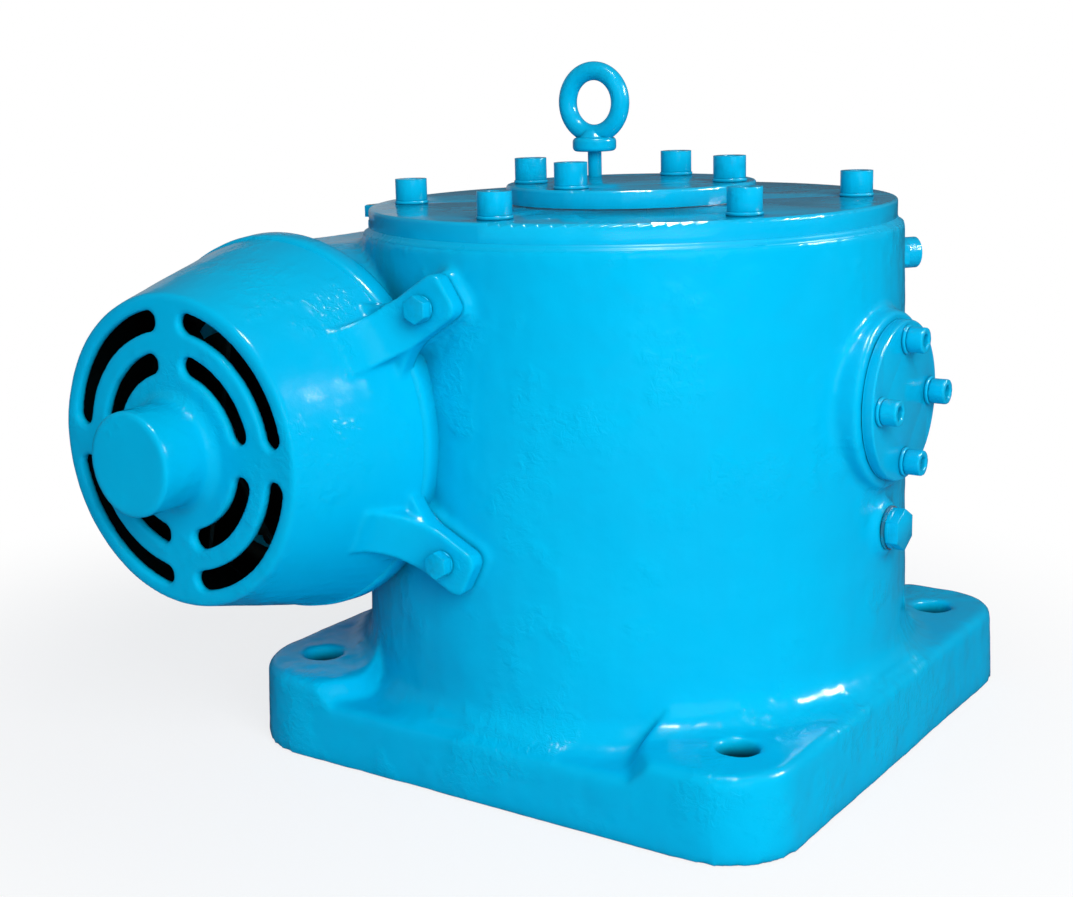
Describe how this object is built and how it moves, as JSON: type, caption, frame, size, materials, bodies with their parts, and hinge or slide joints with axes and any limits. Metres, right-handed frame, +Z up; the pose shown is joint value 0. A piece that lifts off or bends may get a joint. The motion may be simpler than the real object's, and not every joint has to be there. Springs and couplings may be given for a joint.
{
  "type": "worm gearbox",
  "caption": "Blue cast-iron worm gearbox with a vertical hollow output shaft, a square bolted foot, a domed fan cowl and a lifting eye",
  "frame": {"origin": "On the axis of the worm wheel and the output shaft, on the underside of the square foot", "axes": "+Z is up, along the output shaft. The worm lies along Y on the -X side of the wheel: the fan cowl is at -Y and the input shaft leaves at +Y. +X is the side with the round inspection cover"},
  "size_m": [0.6145, 0.6944, 0.51],
  "materials": {
    "painted_casting": "thick glossy cyan-blue enamel over rough grey cast iron",
    "painted_fastener": "the same enamel brushed over screw heads, plugs and the lifting eye",
    "zinc_steel": "zinc-plated steel",
    "shaft_steel": "ground and turned steel with a film of oil",
    "bearing_steel": "polished bearing steel",
    "gear_bronze": "machined tin bronze",
    "hub_iron": "grey cast iron, machined on the seats",
    "fan_alloy": "die-cast aluminium",
    "painted_gasket": "gasket sheet with its edge painted over in the same enamel",
    "seal_rubber": "matte nitrile rubber"
  },
  "bodies": {
    "housing_body": {"bearing_cap": "painted_casting", "bearing_cap_screws": "painted_fastener", "bearing_cap_shim": "zinc_steel", "bearing_cap_washers": "painted_fastener", "breather_plug": "painted_fastener", "cowl_bolts": "painted_fastener", "cowl_washers": "painted_fastener", "drain_plug": "painted_fastener", "drive_end_bearing_outer": "bearing_steel", "drive_end_cap": "painted_casting", "drive_end_seal": "seal_rubber", "end_cap_gaskets": "painted_gasket", "end_cap_screws": "zinc_steel", "fan_cowl": "painted_casting", "fan_end_bearing_outer": "bearing_steel", "fan_end_cap": "painted_casting", "fan_end_seal": "seal_rubber", "housing": "painted_casting", "inspection_cover": "painted_casting", "inspection_gasket": "painted_gasket", "inspection_screws": "painted_fastener", "inspection_washers": "painted_fastener", "lifting_eyebolt": "painted_fastener", "lower_bearing_outer": "bearing_steel", "oil_level_plug": "painted_fastener", "output_retainer": "painted_casting", "output_seal": "seal_rubber", "plug_washers": "zinc_steel", "retainer_screws": "zinc_steel", "top_cover": "painted_casting", "top_cover_flush_screws": "painted_fastener", "top_cover_gasket": "painted_gasket", "top_cover_screws": "painted_fastener", "top_cover_washers": "painted_fastener", "turret_gasket": "painted_gasket", "turret_plate": "painted_casting", "turret_plate_screws": "zinc_steel", "upper_bearing_outer": "bearing_steel"},
    "wheel_body": {"output_shaft": "shaft_steel", "wheel_hub": "hub_iron", "wheel_rim": "gear_bronze", "wheel_key": "shaft_steel", "rim_lock_screws": "shaft_steel", "lower_spacer": "shaft_steel", "upper_spacer": "shaft_steel", "shaft_circlips": "shaft_steel", "lower_bearing_inner": "bearing_steel", "upper_bearing_inner": "bearing_steel"},
    "worm_body": {"worm_shaft": "shaft_steel", "cooling_fan": "fan_alloy", "fan_key": "shaft_steel", "worm_lock_nuts": "shaft_steel", "fan_end_bearing_inner": "bearing_steel", "drive_end_bearing_inner": "bearing_steel"},
    "fan_end_rollers_body": {"fan_end_bearing_rollers": "bearing_steel"},
    "drive_end_rollers_body": {"drive_end_bearing_rollers": "bearing_steel"},
    "lower_rollers_body": {"lower_bearing_rollers": "bearing_steel"},
    "upper_rollers_body": {"upper_bearing_rollers": "bearing_steel"}
  },
  "joints": [
    {"name": "wheel_spin", "type": "hinge", "parent": "housing_body", "child": "wheel_body", "pos_m": [0, 0, 0.254], "axis": [0, 0, 1], "continuous": true},
    {"name": "worm_spin", "type": "hinge", "parent": "housing_body", "child": "worm_body", "pos_m": [-0.175, 0, 0.254], "axis": [0, 1, 0], "continuous": true},
    {"name": "fan_end_rollers_spin", "type": "hinge", "parent": "housing_body", "child": "fan_end_rollers_body", "pos_m": [-0.175, -0.144, 0.254], "axis": [0, 1, 0], "continuous": true},
    {"name": "drive_end_rollers_spin", "type": "hinge", "parent": "housing_body", "child": "drive_end_rollers_body", "pos_m": [-0.175, 0.144, 0.254], "axis": [0, 1, 0], "continuous": true},
    {"name": "lower_rollers_spin", "type": "hinge", "parent": "housing_body", "child": "lower_rollers_body", "pos_m": [0, 0, 0.056], "axis": [0, 0, 1], "continuous": true},
    {"name": "upper_rollers_spin", "type": "hinge", "parent": "housing_body", "child": "upper_rollers_body", "pos_m": [0, 0, 0.3665], "axis": [0, 0, 1], "continuous": true}
  ],
  "couplings": [
    {"joint": "worm_spin", "follows": "wheel_spin", "ratio": 20.5},
    {"joint": "fan_end_rollers_spin", "follows": "wheel_spin", "ratio": 8.692},
    {"joint": "drive_end_rollers_spin", "follows": "wheel_spin", "ratio": 8.692},
    {"joint": "lower_rollers_spin", "follows": "wheel_spin", "ratio": 0.4591},
    {"joint": "upper_rollers_spin", "follows": "wheel_spin", "ratio": 0.4572}
  ]
}
